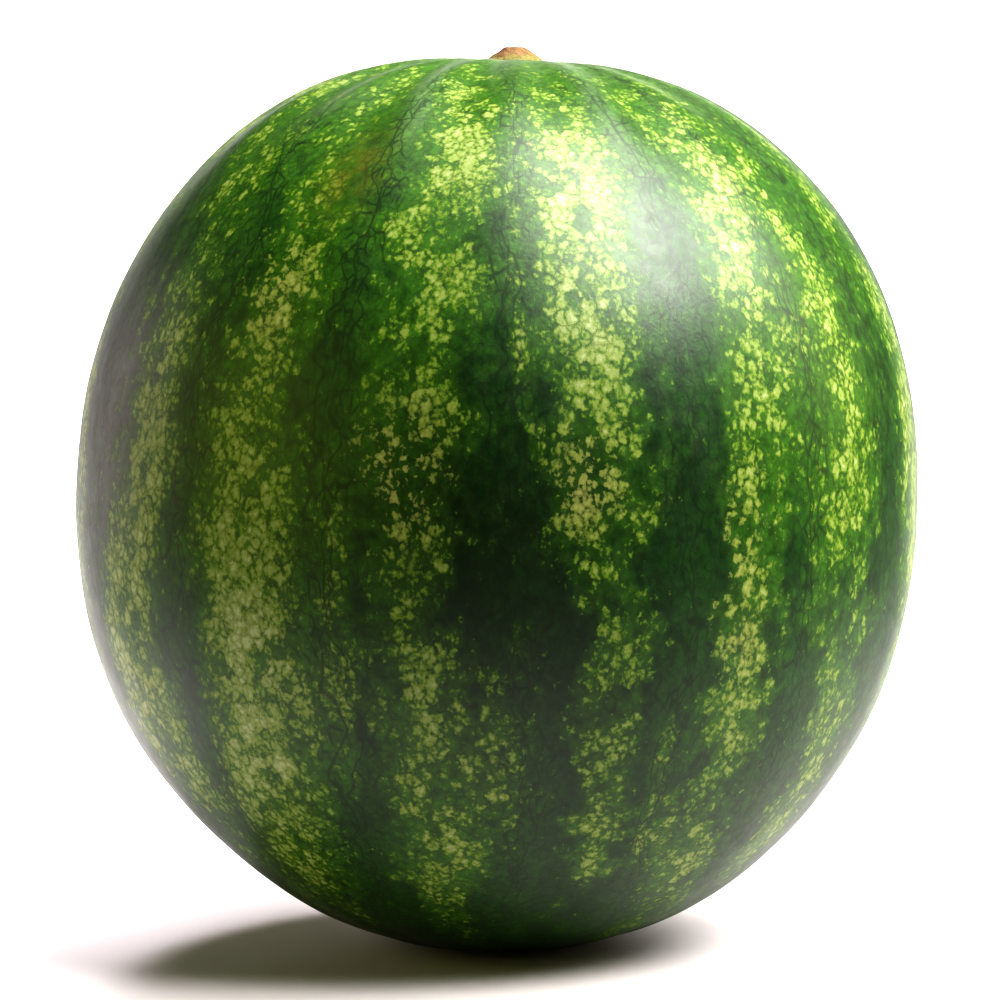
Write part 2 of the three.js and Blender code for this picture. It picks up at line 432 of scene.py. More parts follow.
def spinChain(mesh, chain, steps, doublings=4):
    # a narrow wedge is spun, then copied and turned until the ring is whole: far quicker than one full spin
    wedge = 2 * math.pi / 2 ** doublings
    links = [mesh.edges.new(pair) for pair in zip(chain, chain[1:])]
    bmesh.ops.spin(
        mesh, geom=chain + links, cent=(0, 0, 0), axis=(0, 0, 1), dvec=(0, 0, 0),
        angle=wedge, steps=steps // 2 ** doublings,
        use_merge=False, use_normal_flip=False, use_duplicate=False,
    )
    for k in range(doublings):
        copied = bmesh.ops.duplicate(mesh, geom=mesh.verts[:] + mesh.edges[:] + mesh.faces[:])
        fresh = [part for part in copied["geom"] if isinstance(part, bmesh.types.BMVert)]
        turn = Matrix.Rotation(wedge * 2 ** k, 3, "Z")
        bmesh.ops.rotate(mesh, verts=fresh, cent=(0, 0, 0), matrix=turn)
        bmesh.ops.remove_doubles(mesh, verts=mesh.verts, dist=2e-6)


def finishPiece(name, mesh):
    bmesh.ops.recalc_face_normals(mesh, faces=mesh.faces)
    for face in mesh.faces:
        face.smooth = True
    data = bpy.data.meshes.new(name)
    mesh.to_mesh(data)
    mesh.free()
    piece = bpy.data.objects.new(name, data)
    bpy.context.scene.collection.objects.link(piece)
    return piece


def alongPath(path, down):
    # the stripe's longitude, half width and strength at that distance from the stem
    if down <= path[0][0]:
        early = max(0, 1 - (path[0][0] - down) / fruit["stripeEdge"]["start"])
        return path[0][1], path[0][2], path[0][3] * early
    for before, after in zip(path, path[1:]):
        if down <= after[0]:
            share = (down - before[0]) / (after[0] - before[0])
            share = share * share * (3 - 2 * share)
            return tuple(before[k] + share * (after[k] - before[k]) for k in (1, 2, 3))
    return path[-1][1:]


def ringPattern(down):
    # the stripes as they cross one ring of the fruit, in order of longitude
    here = [alongPath(path, down) for path in stripes]
    crossing = sorted((longitude % 360, halfWidth, strength) for longitude, halfWidth, strength in here)
    thin = [alongPath(path, down) for path in threads]
    raisedWithPaintedHighlight = [alongPath(path, down) for path in ridgesWithPaintedHighlight]
    return crossing, [entry[0] for entry in crossing], thin, raisedWithPaintedHighlight


def stripeShare(apart, halfWidth, radius):
    # 1 inside a stripe, fading to 0 outside it
    edge = fruit["stripeEdge"]
    reach = math.radians(apart) * radius / (halfWidth * mm)
    share = max(0, min(1, (edge["outer"] - reach) / edge["soft"]))
    return share * share * (3 - 2 * share)


def widestShare(paths, degrees, radius):
    # the strongest of the stripes there
    share = 0
    for middle, halfWidth, strength in paths:
        apart = abs((degrees - middle + 180) % 360 - 180)
        share = max(share, strength * stripeShare(apart, halfWidth, radius))
    return share


def patternAt(ring, longitude, radius):
    # mottling strength, the swing between a pale stripe's middle and a dark band's middle, and the ridges
    # with their painted highlight
    crossing, order, thin, raisedWithPaintedHighlight = ring
    degrees = math.degrees(longitude) % 360
    after = bisect.bisect(order, degrees) % len(order)
    pale = widestShare((crossing[after - 1], crossing[after]), degrees, radius)
    pale = max(pale, widestShare(thin, degrees, radius))
    low = order[after - 1]
    span = (order[after] - low) % 360
    turn = 2 * math.pi * ((degrees - low) % 360) / span
    return (pale, math.sin(turn), math.cos(turn)), widestShare(raisedWithPaintedHighlight, degrees, radius)


def spotShare(spots, longitude, down):
    # how strongly the nearest of some soft spots shows here
    shape = fruit["spotShape"]
    share = 0
    for atDown, atLongitude, reach, amount in spots:
        apart = abs((math.degrees(longitude) - atLongitude + 180) % 360 - 180)
        across = math.radians(apart) * fruit["girthRadius"] * shape["girth"]
        gap = math.hypot(across, (down - atDown * mm) * shape["down"])
        share = max(share, amount * bell(gap, reach * mm))
    return share


def makeFruit():
    outline = fruitOutline()
    lengths = [0]
    for before, after in zip(reversed(outline), list(reversed(outline))[1:]):
        lengths.append(lengths[-1] + math.dist(before, after))
    downs = [length - fruit["seatDepth"] for length in reversed(lengths)]
    mesh = bmesh.new()
    downLayer = mesh.verts.layers.float.new("down")
    chain = []
    for (radius, height), down in zip(outline, downs):
        vert = mesh.verts.new((radius, 0, height))
        vert[downLayer] = down
        chain.append(vert)
    spinChain(mesh, chain, fruit["stepsRound"])
    pattern = mesh.verts.layers.float_vector.new("pattern")
    unrolled = mesh.verts.layers.float_vector.new("unrolled")
    spots = mesh.verts.layers.float_vector.new("spots")
    lush = mesh.verts.layers.float.new("lush")
    paintedShade = mesh.verts.layers.float.new("paintedShade")
    # ridge share: it lifts the ridge relief and paints a highlight along each crest
    ridgeAndPaintedHighlight = mesh.verts.layers.float.new("ridgeAndPaintedHighlight")
    middle = Vector((0, 0, girthLevel))
    lumps, spotLists = fruit["lumps"], fruit["spots"]
    rings = {}
    for vert in mesh.verts:
        radius = math.hypot(vert.co.x, vert.co.y)
        down = vert[downLayer]
        longitude = math.atan2(vert.co.x, -vert.co.y)
        level = round(down * 1e6)  # a whole number, so that it can be looked up
        if level not in rings:
            rings[level] = ringPattern(down / mm)
        vert[pattern], vert[ridgeAndPaintedHighlight] = patternAt(rings[level], longitude, max(radius, 1e-4))
        wide = radius ** fruit["widening"] * fruit["girthRadius"] ** (1 - fruit["widening"])
        vert[unrolled] = (wide * math.sin(longitude), -wide * math.cos(longitude), fruit["downScale"] * down)
        vert[spots] = [spotShare(spotLists[name], longitude, down) for name in ("buff", "brown", "ground")]
        vert[lush] = spotShare(spotLists["lush"], longitude, down)
        # share of painted shade on the front
        vert[paintedShade] = spotShare(spotLists["paintedShade"], longitude, down)
        if down > downs[0] - fruit["footRadius"] + fruit["footMargin"]:
            continue
        onCrown = vert.co.z > girthLevel
        if down > fruit["seatRadius"] + fruit["seatMargin"]:
            out = vert.co - middle
            lift = rindLift(longitude, math.acos(out.z / out.length))
            edge = fruit["seatRadius"] if onCrown else fruit["footRadius"]
            calm = min(1, max(0, (radius - edge) / fruit["calmWidth"]))
            lift += lumps["height"] * calm * noise.noise(vert.co / lumps["size"])
            vert.co += out.normalized() * lift
        if onCrown:
            vert.co.x += fruit["stemShift"] * bell(max(radius - fruit["seatRadius"], 0), fruit["stemFade"])
    return finishPiece("rind", mesh)


# the look of the rind
rindLook = {
    "colours": {
        "bandMargin": (0.0055, 0.0340, 0.0025),
        "bandMiddle": (0.0100, 0.0500, 0.0040),
        "crownGreen": (0.0600, 0.1300, 0.0220),
        "vein": (0.0030, 0.0150, 0.0020),
        "glow": (0.0280, 0.0950, 0.0035),
        "leafy": (0.0420, 0.1150, 0.0045),
        "vivid": (0.0950, 0.1700, 0.0080),
        "lime": (0.1850, 0.2500, 0.0430),
        "pale": (0.2450, 0.2950, 0.1050),
        "cream": (0.3300, 0.3750, 0.1900),
        "buff": (0.3400, 0.3050, 0.1150),
        "brown": (0.0850, 0.0850, 0.0060),
        # painted highlight: the pale colour along the crest of each crown ridge
        "ridgeAndPaintedHighlight": (0.1500, 0.2300, 0.1100),
        "collar": (0.3000, 0.3300, 0.0900),
        "ground": (0.4600, 0.4300, 0.1500),
        "scar": (0.1900, 0.1250, 0.0600),
    },
    "roughness": 0.42,
    "specular": 0.46,
    "bumpHeight": 1 * mm,
    # noises: size, detail, roughness and an offset that sets each apart from the others
    "clouds": {
        "clump": (15 * mm, 1, 0.5),
        "patch": (5.5 * mm, 2, 0.55, 0.31),
        "grain": (1.1 * mm, 2, 0.6, 0.13),
        "wander": (18 * mm, 1, 0.5, 0.77),
        "freckle": (2.4 * mm, 3, 0.65, 0.51),
        "gap": (6 * mm, 1, 0.5, 0.91),  # where the cracks break off
    },
    "cells": {"cell": 3.4 * mm, "crumb": 1.5 * mm, "crack": 3.6 * mm},
    # how a place is bent before cells are drawn on it: size and reach of the swings, offset and detail
    "bends": {
        "cell": (3 * mm, 0.9 * mm, 0, 1),
        "cellEdge": (1.1 * mm, 0.4 * mm, 0.4),
        "crumb": (1.4 * mm, 0.45 * mm, 0.6),
        "crack": (4 * mm, 0.8 * mm, 0.2),
    },
    # how many times wider across and longer down the fruit these are drawn
    "stretches": {"clump": (1, 1.3), "crack": (1, 1.7), "vein": (1.5, 1)},
    # how the pale mottling builds up: the stripe's own strength, then how much each unevenness adds or takes
    "mottling": {
        "gain": 1.1,
        "start": -0.16,
        "clump": 1.8,
        "cellPatch": 1.3,
        "patch": 1.4,
        "cell": 0.5,
        "unrest": (0.5, 0.6),  # slope and height of the share of these four that a stripe's strength lets in
        "lush": 0.12,
        "ceiling": (0.9, 0.22, 0.25),  # slope, height and softness of the most that the strength allows
        "joint": -0.42,
        "crumb": -0.22,
        "grain": 1.3,
    },
    # the colours that a cell runs through as the mottling there grows stronger
    "mottleStops": (("leafy", 0.1), ("vivid", 0.28), ("lime", 0.5), ("pale", 0.8), ("cream", 1)),
    # Where each feature fades in or out: its two ends, then the values there if they aren't 0 and 1.
    # The lighter green towards the stem, collar and scar are counted in metres down the rind from the stem.
    "fades": {
        "joint": (0, 0.36, 1, 0),
        "jointInStripe": (0.88, 1.05, 1, 0.6),
        "crumb": (0.3, 0.75),
        "bandMiddle": (-0.05, -0.85),
        "stemward": (20 * mm, 140 * mm, 0.85, 0),
        "glow": (0.12, 0.62, 0, 0.85),
        "freckle": (0.28, 0.72, 0.68, 1.36),
        "mottle": (-0.06, 0.22),
        "sheen": (0.3, 0.6, 0.25, 0.6),
        "collar": (8 * mm, 22 * mm, 0.9, 0),
        "bleach": (0.25, 0.6, 0.75, 0.97),
        "scar": (344 * mm, 348 * mm),
        "blot": (0.36, 0.56, 0.25, 0.95),
        "gap": (0.36, 0.62),
        "crack": (0.02, 0.14, 1, 0),
        "crackle": (0, 0.1, 1, 0),
        "crackleInGap": (0, 1, 1, 0.25),
        "vein": (0.01, 0.09, 1, 0),
        "veinBand": (-0.2, -0.6),
    },
    # how much noise moves the edge of each of these, on its own scale
    "wavers": {"bandMiddle": 1.6, "stemward": 0.1, "glow": 1.2, "collar": 0.02, "scar": 0.004, "blot": 0.6},
    # how far one layer works on another
    "shares": {
        "glowByStripe": 1.1,
        "glowByLush": 0.5,
        "toneByCell": 0.25,
        "toneByPaintedShade": -0.8,
        "bodyByPaintedShade": -0.35,
        "buff": 0.75,
        "linesOnGround": -0.7,
        "ridgeRelief": 0.3,
        "poreRelief": 0.06,
        "roughnessByPatch": 0.22,
    },
    # how dark the fine lines are: cracks of the band middles, joints between cells, and veins
    "lines": {"crack": 0.75, "joint": 0.4, "vein": 0.7},
    # The veins that wander down the middle of each band: which side of it, the reach of their swings,
    # and the noise that swings them.
    "veins": ((0.18, 2.2, (13 * mm, 2, 0.55, 0.68)), (-0.22, 2.6, (17 * mm, 2, 0.55, 0.28))),
}


def ramp(tree, value, stops):
    node = tree.nodes.new("ShaderNodeValToRGB")
    plug(tree, value, node.inputs[0])
    ends = node.color_ramp.elements
    while len(ends) < len(stops):
        ends.new(0.5)
    for end, (position, colour) in zip(ends, stops):
        end.position = position
        end.color = (*colour, 1)
    return node.outputs["Color"]


def pushed(tree, value, source, amount, middle=0.5):
    # value + amount * (source - middle)
    return calc(tree, "MULTIPLY_ADD", calc(tree, "SUBTRACT", source, middle), amount, value)


def stretched(tree, place, across, down):
    # features drawn this many times wider across and longer down the fruit
    node = tree.nodes.new("ShaderNodeMapping")
    node.vector_type = "POINT"
    tree.links.new(place, node.inputs["Vector"])
    node.inputs["Scale"].default_value = (1 / across, 1 / across, 1 / down)
    return node.outputs[0]


def readLayer(tree, name, output="Fac"):
    read = tree.nodes.new("ShaderNodeAttribute")
    read.attribute_name = name
    return read.outputs[output]


def parts(tree, vector):
    split = tree.nodes.new("ShaderNodeSeparateXYZ")
    tree.links.new(vector, split.inputs[0])
    return split.outputs


def readRind(tree):
    # what the mesh says about each point: its place on the unrolled rind and what grows there
    here = {"place": readLayer(tree, "unrolled", "Vector")}
    here["along"] = parts(tree, here["place"])[2]
    here["pale"], here["side"], here["facing"] = parts(tree, readLayer(tree, "pattern", "Vector"))
    here["buff"], here["brown"], here["ground"] = parts(tree, readLayer(tree, "spots", "Vector"))
    for name in ("lush", "paintedShade", "ridgeAndPaintedHighlight"):
        here[name] = readLayer(tree, name)
    return here


def rindNoises(tree, place):
    # the rind is a mosaic of small cells, and the pale stripes are clusters of pale cells in it
    clouds, sizes, bends = rindLook["clouds"], rindLook["cells"], rindLook["bends"]
    bent = bentPlace(tree, place, *bends["cell"])
    bent = bentPlace(tree, bent, *bends["cellEdge"])
    mosaic = cells(tree, bent, sizes["cell"])
    joints = cells(tree, bent, sizes["cell"], "DISTANCE_TO_EDGE")
    crumbs = cells(tree, bentPlace(tree, place, *bends["crumb"]), sizes["crumb"])
    clumpPlace = stretched(tree, place, *rindLook["stretches"]["clump"])
    noises = {name: cloud(tree, place, *clouds[name]) for name in ("patch", "grain", "wander", "freckle")}
    noises["clump"] = cloud(tree, clumpPlace, *clouds["clump"])
    noises["cellPatch"] = cloud(tree, mosaic.outputs["Position"], *clouds["patch"])
    noises["chance"] = parts(tree, mosaic.outputs["Color"])
    noises["joints"] = joints.outputs["Distance"]
    noises["crumbs"] = crumbs.outputs["Distance"]
    return noises


def rindMottle(tree, here, noises):
    # from under 0 in a dark band to about 1 in the palest cells of a stripe
    fades, mottling = rindLook["fades"], rindLook["mottling"]
    pale = here["pale"]
    unrest = pushed(tree, 0.0, noises["clump"], mottling["clump"])
    unrest = pushed(tree, unrest, noises["cellPatch"], mottling["cellPatch"])
    unrest = pushed(tree, unrest, noises["patch"], mottling["patch"])
    unrest = pushed(tree, unrest, noises["chance"][0], mottling["cell"])
    letIn = calc(tree, "MULTIPLY_ADD", pale, *mottling["unrest"], clamp=True)
    unrest = calc(tree, "MULTIPLY", unrest, letIn)
    mottle = calc(tree, "ADD", calc(tree, "MULTIPLY_ADD", pale, mottling["gain"], mottling["start"]), unrest)
    mottle = calc(tree, "MULTIPLY_ADD", here["lush"], mottling["lush"], mottle)
    slope, top, softness = mottling["ceiling"]
    mottle = calc(tree, "SMOOTH_MIN", mottle, calc(tree, "MULTIPLY_ADD", pale, slope, top), softness)
    jointed = fade(tree, noises["joints"], *fades["joint"])
    jointed = calc(tree, "MULTIPLY", jointed, fade(tree, pale, *fades["jointInStripe"]))
    mottle = calc(tree, "MULTIPLY_ADD", jointed, mottling["joint"], mottle)
    crumbled = fade(tree, noises["crumbs"], *fades["crumb"])
    mottle = calc(tree, "MULTIPLY_ADD", crumbled, mottling["crumb"], mottle)
    return pushed(tree, mottle, noises["grain"], mottling["grain"])


def bandColour(tree, here, noises, inMiddle):
    # smooth deep green margins and a lighter middle, which glow beside a stripe and in the lush patches
    colours, fades, shares = rindLook["colours"], rindLook["fades"], rindLook["shares"]
    wavers = rindLook["wavers"]
    base = blendColour(tree, inMiddle, colours["bandMargin"], colours["bandMiddle"])
    stemward = pushed(tree, here["along"], noises["wander"], wavers["stemward"])
    # lighter green towards the stem
    base = blendColour(tree, fade(tree, stemward, *fades["stemward"]), base, colours["crownGreen"])
    glow = calc(tree, "MULTIPLY", here["lush"], shares["glowByLush"])
    glow = calc(tree, "MULTIPLY_ADD", here["pale"], shares["glowByStripe"], glow)
    glow = pushed(tree, glow, noises["clump"], wavers["glow"])
    glow = pushed(tree, glow, noises["patch"], wavers["glow"])
    base = blendColour(tree, fade(tree, glow, *fades["glow"]), base, colours["glow"])
    tone = fade(tree, noises["freckle"], *fades["freckle"])
    tone = pushed(tree, tone, noises["chance"][1], shares["toneByCell"])
    # painted shade dims the band's tone there
    tone = calc(tree, "MULTIPLY", tone, calc(tree, "MULTIPLY_ADD", here["paintedShade"], shares["toneByPaintedShade"], 1))
    return blendColour(tree, 1.0, base, grey(tree, tone), "MULTIPLY")


def stripeColour(tree, here, mottle):
    stops = [(position, rindLook["colours"][name]) for name, position in rindLook["mottleStops"]]
    fresh = ramp(tree, mottle, stops)
    dry = blendColour(tree, rindLook["shares"]["buff"], fresh, rindLook["colours"]["buff"])
    return blendColour(tree, here["buff"], fresh, dry)


def addMarks(tree, here, noises, body):
    # painted highlight along the crown's ridges, then the collar of the crown, ground spot, blossom scar and
    # stain
    colours, fades, wavers = rindLook["colours"], rindLook["fades"], rindLook["wavers"]
    # painted highlight along the ridge crests, broken up by the patch noise
    sheen = calc(tree, "MULTIPLY", here["ridgeAndPaintedHighlight"], fade(tree, noises["patch"], *fades["sheen"]))
    body = blendColour(tree, sheen, body, colours["ridgeAndPaintedHighlight"])
    collar = pushed(tree, here["along"], noises["patch"], wavers["collar"])
    body = blendColour(tree, fade(tree, collar, *fades["collar"]), body, colours["collar"])
    bleached = calc(tree, "MULTIPLY", here["ground"], fade(tree, noises["patch"], *fades["bleach"]))
    body = blendColour(tree, bleached, body, colours["ground"])
    scar = pushed(tree, here["along"], noises["grain"], wavers["scar"])
    body = blendColour(tree, fade(tree, scar, *fades["scar"]), body, colours["scar"])
    blotted = pushed(tree, noises["patch"], noises["clump"], wavers["blot"])
    blotted = calc(tree, "MULTIPLY", here["brown"], fade(tree, blotted, *fades["blot"]))
    return blendColour(tree, blotted, body, colours["brown"])


def darkLines(tree, here, noises, inMiddle):
    # cracks round long cells in the band middles, joints between the small cells, and the veins
    fades, strengths, stretches = rindLook["fades"], rindLook["lines"], rindLook["stretches"]
    place = here["place"]
    tall = bentPlace(tree, stretched(tree, place, *stretches["crack"]), *rindLook["bends"]["crack"])
    tallEdges = cells(tree, tall, rindLook["cells"]["crack"], "DISTANCE_TO_EDGE").outputs["Distance"]
    broken = fade(tree, cloud(tree, place, *rindLook["clouds"]["gap"]), *fades["gap"])
    net = calc(tree, "MULTIPLY", fade(tree, tallEdges, *fades["crack"]), inMiddle)
    net = calc(tree, "MULTIPLY", net, broken)
    crackle = fade(tree, noises["joints"], *fades["crackle"])
    crackle = calc(tree, "MULTIPLY", crackle, fade(tree, broken, *fades["crackleInGap"]))
    veins = 0.0
    swayPlace = stretched(tree, place, *stretches["vein"])
    for start, reach, swings in rindLook["veins"]:
        sway = cloud(tree, swayPlace, *swings)
        apart = pushed(tree, calc(tree, "ADD", here["side"], start), sway, reach)
        line = fade(tree, calc(tree, "ABSOLUTE", apart), *fades["vein"])
        veins = calc(tree, "MAXIMUM", line, veins)
    veins = calc(tree, "MULTIPLY", veins, fade(tree, here["facing"], *fades["veinBand"]))
    dark = calc(tree, "MULTIPLY", net, strengths["crack"])
    dark = calc(tree, "MAXIMUM", dark, calc(tree, "MULTIPLY", crackle, strengths["joint"]))
    dark = calc(tree, "MAXIMUM", dark, calc(tree, "MULTIPLY", veins, strengths["vein"]))
    faint = calc(tree, "MULTIPLY_ADD", here["ground"], rindLook["shares"]["linesOnGround"], 1)
    return calc(tree, "MULTIPLY", dark, faint)


def makeRindMaterial():
    material, tree, shader = newMaterial("rind")
    shares = rindLook["shares"]
    here = readRind(tree)
    noises = rindNoises(tree, here["place"])
    inMiddle = pushed(tree, here["facing"], noises["wander"], rindLook["wavers"]["bandMiddle"])
    inMiddle = fade(tree, inMiddle, *rindLook["fades"]["bandMiddle"])

    base = bandColour(tree, here, noises, inMiddle)
    mottle = rindMottle(tree, here, noises)
    pale = fade(tree, mottle, *rindLook["fades"]["mottle"])
    body = blendColour(tree, pale, base, stripeColour(tree, here, mottle))
    body = addMarks(tree, here, noises, body)
    # painted shade darkens the whole colour there, stripes too
    shaded = calc(tree, "MULTIPLY_ADD", here["paintedShade"], shares["bodyByPaintedShade"], 1)
    body = blendColour(tree, 1.0, body, grey(tree, shaded), "MULTIPLY")
    lines = darkLines(tree, here, noises, inMiddle)
    body = blendColour(tree, lines, body, rindLook["colours"]["vein"])
    tree.links.new(body, shader.inputs["Base Color"])

    # relief: low ridges with fine pores, which also break the shine
    relief = calc(tree, "MULTIPLY", here["ridgeAndPaintedHighlight"], shares["ridgeRelief"])
    relief = pushed(tree, relief, noises["grain"], shares["poreRelief"])
    addBump(tree, shader, relief, rindLook["bumpHeight"])
    roughness = pushed(tree, rindLook["roughness"], noises["patch"], shares["roughnessByPatch"])
    tree.links.new(roughness, shader.inputs["Roughness"])
    shader.inputs["Specular IOR Level"].default_value = rindLook["specular"]
    return material


fruitPiece = makeFruit()
fruitPiece.data.materials.append(makeRindMaterial())
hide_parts("fruit")
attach(fruitPiece, "root")
print("fruit made")


# the stub that is left of the stem
stub = {
    "rootRadius": 9.15 * mm,
    "rootDepth": 1.7 * mm,
    "rootBevel": 0.6 * mm,
    "topRadius": 2.9 * mm,
    "height": 5.2 * mm,
    "scarDepth": 0.7 * mm,
    "scarWidth": 0.6,  # share of the top's
    "flank": ((0.93, 0.26), (0.75, 0.5), (0.53, 0.77)),  # shares of the root's radius and of the height
    "brow": (1.2, 0.96),  # shares of the top's radius and of the height
    "steps": 192,
    "cuts": 8,  # between two corners of the outline
    "furrows": 7,
    "furrowDepth": 0.4 * mm,
    "fullRelief": 0.6,  # share of the height from which furrows and lumps are whole
    "lumpHeight": 0.32 * mm,
    "lumpSize": 1.9 * mm,
    "lumpShift": (3, 0, 7),
    "lumpLean": 0.6,  # how far the lumps grow upwards as well as outwards
    "grainHeight": 0.09 * mm,
    "grainSize": 0.5 * mm,
    "colours": {
        "skin": (0.1900, 0.1700, 0.0520),  # yellow green low on the flank
        "tan": (0.2200, 0.1300, 0.0560),
        "clay": (0.1600, 0.0700, 0.0400),
        "bark": (0.0500, 0.0260, 0.0140),
    },
    "clouds": {
        "blotch": (3.2 * mm, 3, 0.6),
        "fleck": (0.8 * mm, 3, 0.65, 0.2),
        "fibre": (1 * mm, 3, 0.6, 0.4),
    },
    "fibreStretch": (0.35, 1.6),
    "pores": {"size": 0.75 * mm, "bend": (0.8 * mm, 0.2 * mm)},
    # written as for the rind: clay is counted across from the stem axis, skin and rim up from the rind
    "fades": {
        "clay": (1 * mm, 6 * mm, 1, 0),
        "skin": (1.2 * mm, 3.6 * mm, 1, 0),
        "rim": (4.2 * mm, 5.2 * mm, 0, 0.7),
        "tone": (0.3, 0.7, 0.55, 1.35),
        "pits": (0.1, 0.34, 0.85, 0),
        "roughness": (0.3, 0.7, 0.68, 0.88),
    },
    "wavers": {"clay": 0.012, "skin": 0.007, "rim": 0.002},
    "shares": {"toneByFleck": 0.7, "pitRelief": -0.12, "fibreRelief": 0.25, "fleckRelief": 0.2},
    "bumpHeight": 1 * mm,
    "specular": 0.3,
}


def stubOutline():
    root, top, height = stub["rootRadius"], stub["topRadius"], stub["height"]
    depth, bevel = stub["rootDepth"], stub["rootBevel"]
    scarLevel = height - stub["scarDepth"]
    corners = [(0, -depth), (root - bevel, -depth), (root, bevel - depth), (root, 0)]
    corners += [(root * wide, height * up) for wide, up in stub["flank"]]
    corners += [
        (top * stub["brow"][0], height * stub["brow"][1]), (top, height),
        (top * stub["scarWidth"], scarLevel), (0, scarLevel),
    ]
    outline = []
    for before, after in zip(corners, corners[1:]):
        for k in range(stub["cuts"]):
            share = k / stub["cuts"]
            outline.append(tuple(a + (b - a) * share for a, b in zip(before, after)))
    outline.append(corners[-1])
    return outline


def makeStub():
    mesh = bmesh.new()
    spinChain(mesh, [mesh.verts.new((radius, 0, level)) for radius, level in stubOutline()], stub["steps"])
    for vert in mesh.verts:
        longitude = math.atan2(vert.co.x, -vert.co.y)
        radius = math.hypot(vert.co.x, vert.co.y)
        rise = max(0, min(1, vert.co.z / (stub["height"] * stub["fullRelief"])))
        furrow = stub["furrowDepth"] * rise * (0.5 - 0.5 * math.cos(stub["furrows"] * longitude))
        if radius > stub["topRadius"] / 2:
            vert.co.x *= 1 - furrow / radius
            vert.co.y *= 1 - furrow / radius
        lump = stub["lumpHeight"] * noise.noise(vert.co / stub["lumpSize"] + Vector(stub["lumpShift"]))
        lump += stub["grainHeight"] * noise.noise(vert.co / stub["grainSize"])
        onAxis = radius < 1e-5
        out = Vector((0, 0, 1)) if onAxis else Vector((vert.co.x, vert.co.y, stub["lumpLean"] * radius))
        vert.co += out.normalized() * lump * rise
        vert.co += Vector((fruit["stemShift"], 0, seatMouth))
    return finishPiece("stub", mesh)


def makeCorkMaterial():
    material, tree, shader = newMaterial("stemCork")
    clouds, fades, wavers, shares = stub["clouds"], stub["fades"], stub["wavers"], stub["shares"]
    colours = stub["colours"]
    place = tree.nodes.new("ShaderNodeTexCoord").outputs["Object"]
    axes = parts(tree, place)
    across = axes[0]
    level = calc(tree, "SUBTRACT", axes[2], seatMouth)

    blotch = cloud(tree, place, *clouds["blotch"])
    fleck = cloud(tree, place, *clouds["fleck"])
    fibre = cloud(tree, stretched(tree, place, *stub["fibreStretch"]), *clouds["fibre"])
    pores = cells(tree, bentPlace(tree, place, *stub["pores"]["bend"]), stub["pores"]["size"])

    # tan towards the right, clay on the left shoulder and round the scar, yellow green at the root
    leftward = fade(tree, pushed(tree, across, blotch, wavers["clay"]), *fades["clay"])
    body = blendColour(tree, leftward, colours["tan"], colours["clay"])
    low = fade(tree, pushed(tree, level, blotch, wavers["skin"]), *fades["skin"])
    body = blendColour(tree, low, body, colours["skin"])
    rim = fade(tree, pushed(tree, level, fleck, wavers["rim"]), *fades["rim"])
    body = blendColour(tree, rim, body, colours["clay"])
    tone = pushed(tree, fade(tree, fibre, *fades["tone"]), fleck, shares["toneByFleck"])
    body = blendColour(tree, 1.0, body, grey(tree, tone), "MULTIPLY")
    pits = fade(tree, pores.outputs["Distance"], *fades["pits"])
    body = blendColour(tree, pits, body, colours["bark"])
    tree.links.new(body, shader.inputs["Base Color"])

    relief = calc(tree, "MULTIPLY", pits, shares["pitRelief"])
    relief = pushed(tree, relief, fibre, shares["fibreRelief"])
    relief = pushed(tree, relief, fleck, shares["fleckRelief"])
    addBump(tree, shader, relief, stub["bumpHeight"])
    tree.links.new(fade(tree, fleck, *fades["roughness"]), shader.inputs["Roughness"])
    shader.inputs["Specular IOR Level"].default_value = stub["specular"]
    return material


stubPiece = makeStub()
stubPiece.data.materials.append(makeCorkMaterial())
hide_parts("stem_stub")
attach(stubPiece, "root")
print("stub made")


# floor, backdrop and light
sweepSheet = {
    "halfWidth": 10,
    "front": -10,
    "back": 2.8,
    "bend": 0.8,
    "bendSteps": 12,
    "top": 2.6,
    "sink": 0.0002,  # keeps the floor just clear of the flat spot
    "tone": (0.580, 0.535, 0.560),
    "roughness": 0.9,
}

studio = {
    "worldTone": 0.01,
    "look": "High Contrast",
}

# where each softbox hangs and what it points at, its width and height, power, tint and beam angle
softboxes = {
    "key": {"place": (0.44, -0.19, 0.80), "aim": (0.03, 0.12, 0.12), "size": (0.7, 0.8), "watts": 3.1,
            "tint": (1, 0.99, 0.95), "spread": 45},
    "keyRight": {"place": (0.60, 0.10, 0.70), "aim": (0.03, 0.12, 0.12), "size": (0.7, 0.8), "watts": 1.5,
                 "tint": (1, 0.99, 0.95), "spread": 45},
    "keyTop": {"place": (0.24, 0.15, 0.92), "aim": (0.03, 0.12, 0.12), "size": (0.6, 0.8), "watts": 1.6,
               "tint": (1, 0.99, 0.95), "spread": 45},
    "side": {"place": (1.00, 0.25, 0.45), "aim": (0.02, 0.06, 0.14), "size": (0.6, 0.8), "watts": 0.32,
             "tint": (1, 0.97, 0.60), "spread": 50},
    "rim": {"place": (-0.72, 0.46, 0.20), "aim": (0.02, 0.06, 0.12), "size": (0.4, 0.6), "watts": 0.22,
            "tint": (1, 0.80, 0.86), "spread": 60},
    "fill": {"place": (-1.20, -0.50, 0.38), "aim": (0, 0, 0.08), "size": (1.9, 1.0), "watts": 2.2,
             "tint": (0.90, 0.96, 0.26), "spread": 100},
    "floorLeft": {"place": (-0.30, 0.62, 0.95), "aim": (-0.20, 0.06, 0), "size": (0.25, 0.25), "watts": 0.4,
                  "tint": (1, 0.95, 0.98), "spread": 20},
    "wash": {"place": (0, 0.85, 1.30), "aim": (0, 0.75, 0), "size": (0.5, 0.5), "watts": 6,
             "tint": (1, 1, 1), "spread": 55},
    "backdrop": {"place": (0, 1.5, 1.5), "aim": (0, 2.1, 0.1), "size": (1.8, 1.8), "watts": 75,
                 "tint": (1, 1, 1), "spread": 110},
}


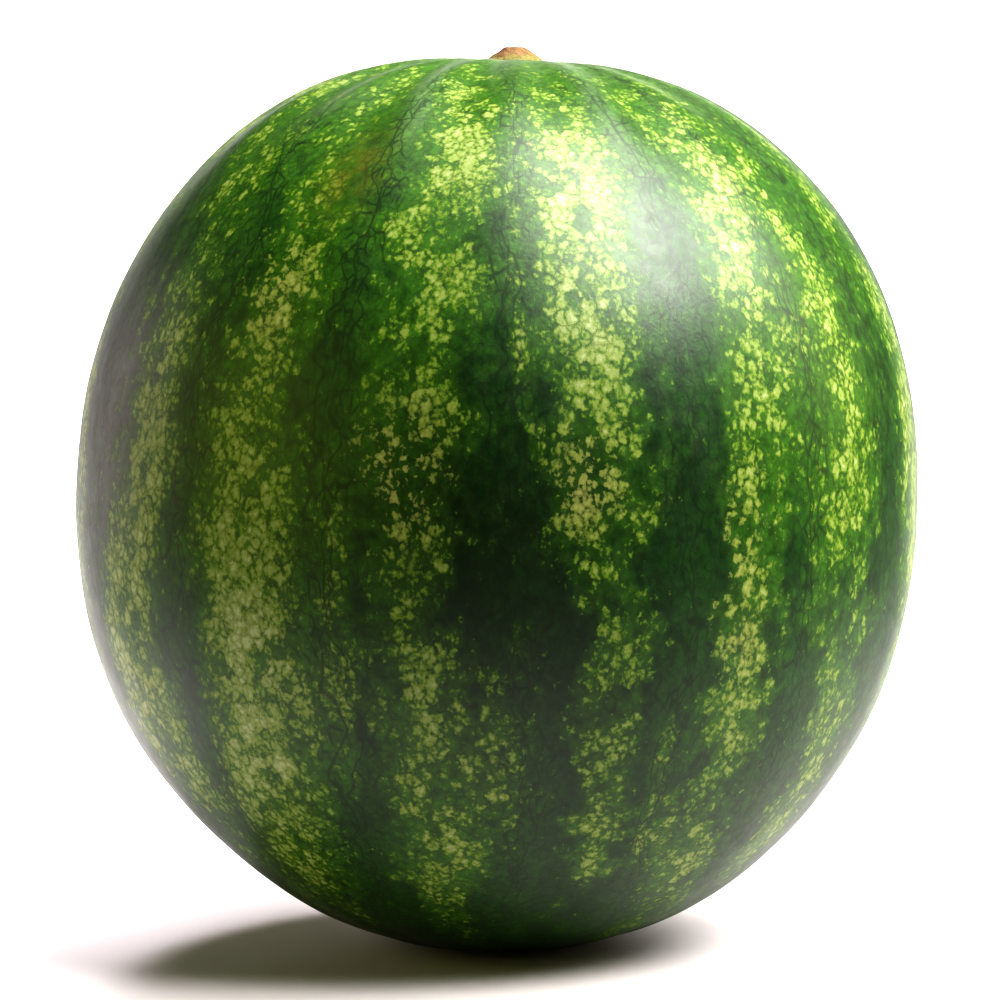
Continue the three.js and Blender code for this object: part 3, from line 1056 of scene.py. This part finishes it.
def makeSoftbox(name):
    facts = softboxes[name]
    lamp = bpy.data.lights.new(name, "AREA")
    lamp.shape = "RECTANGLE"
    lamp.size, lamp.size_y = facts["size"]
    lamp.energy = facts["watts"]
    lamp.color = facts["tint"]
    lamp.spread = math.radians(facts["spread"])
    holder = bpy.data.objects.new(name, lamp)
    holder.visible_camera = False
    bpy.context.scene.collection.objects.link(holder)
    holder.location = facts["place"]
    aim = Vector(facts["aim"]) - Vector(facts["place"])
    holder.rotation_euler = aim.to_track_quat("-Z", "Y").to_euler()


def makeFloor():
    # a sheet that lies flat and bends up behind
    mesh = bmesh.new()
    bend = sweepSheet["bend"]
    bendStart = sweepSheet["back"] - bend
    outline = [(sweepSheet["front"], 0), (bendStart, 0)]
    for i in range(1, sweepSheet["bendSteps"] + 1):
        turn = math.pi / 2 * i / sweepSheet["bendSteps"]
        outline.append((bendStart + bend * math.sin(turn), bend - bend * math.cos(turn)))
    outline.append((sweepSheet["back"], sweepSheet["top"]))
    halfWidth = sweepSheet["halfWidth"]
    chain = [mesh.verts.new((-halfWidth, y, z - sweepSheet["sink"])) for y, z in outline]
    links = [mesh.edges.new(pair) for pair in zip(chain, chain[1:])]
    grown = bmesh.ops.extrude_edge_only(mesh, edges=links)
    moved = [part for part in grown["geom"] if isinstance(part, bmesh.types.BMVert)]
    bmesh.ops.translate(mesh, verts=moved, vec=(2 * halfWidth, 0, 0))
    floor = finishPiece("floor", mesh)
    material, tree, shader = newMaterial("paper")
    shader.inputs["Base Color"].default_value = (*sweepSheet["tone"], 1)
    shader.inputs["Roughness"].default_value = sweepSheet["roughness"]
    floor.data.materials.append(material)
    return floor


def makeStudio():
    for name in softboxes:
        makeSoftbox(name)
    world = bpy.data.worlds.new("studio")
    world.use_nodes = True
    ground = world.node_tree.nodes["Background"]
    tone = studio["worldTone"]
    ground.inputs["Color"].default_value = (tone, tone, tone, 1)
    ground.inputs["Strength"].default_value = 1
    bpy.context.scene.world = world
    bpy.context.scene.view_settings.view_transform = "Standard"
    bpy.context.scene.view_settings.look = studio["look"]


floorPiece = makeFloor()
makeStudio()
print("studio lit")
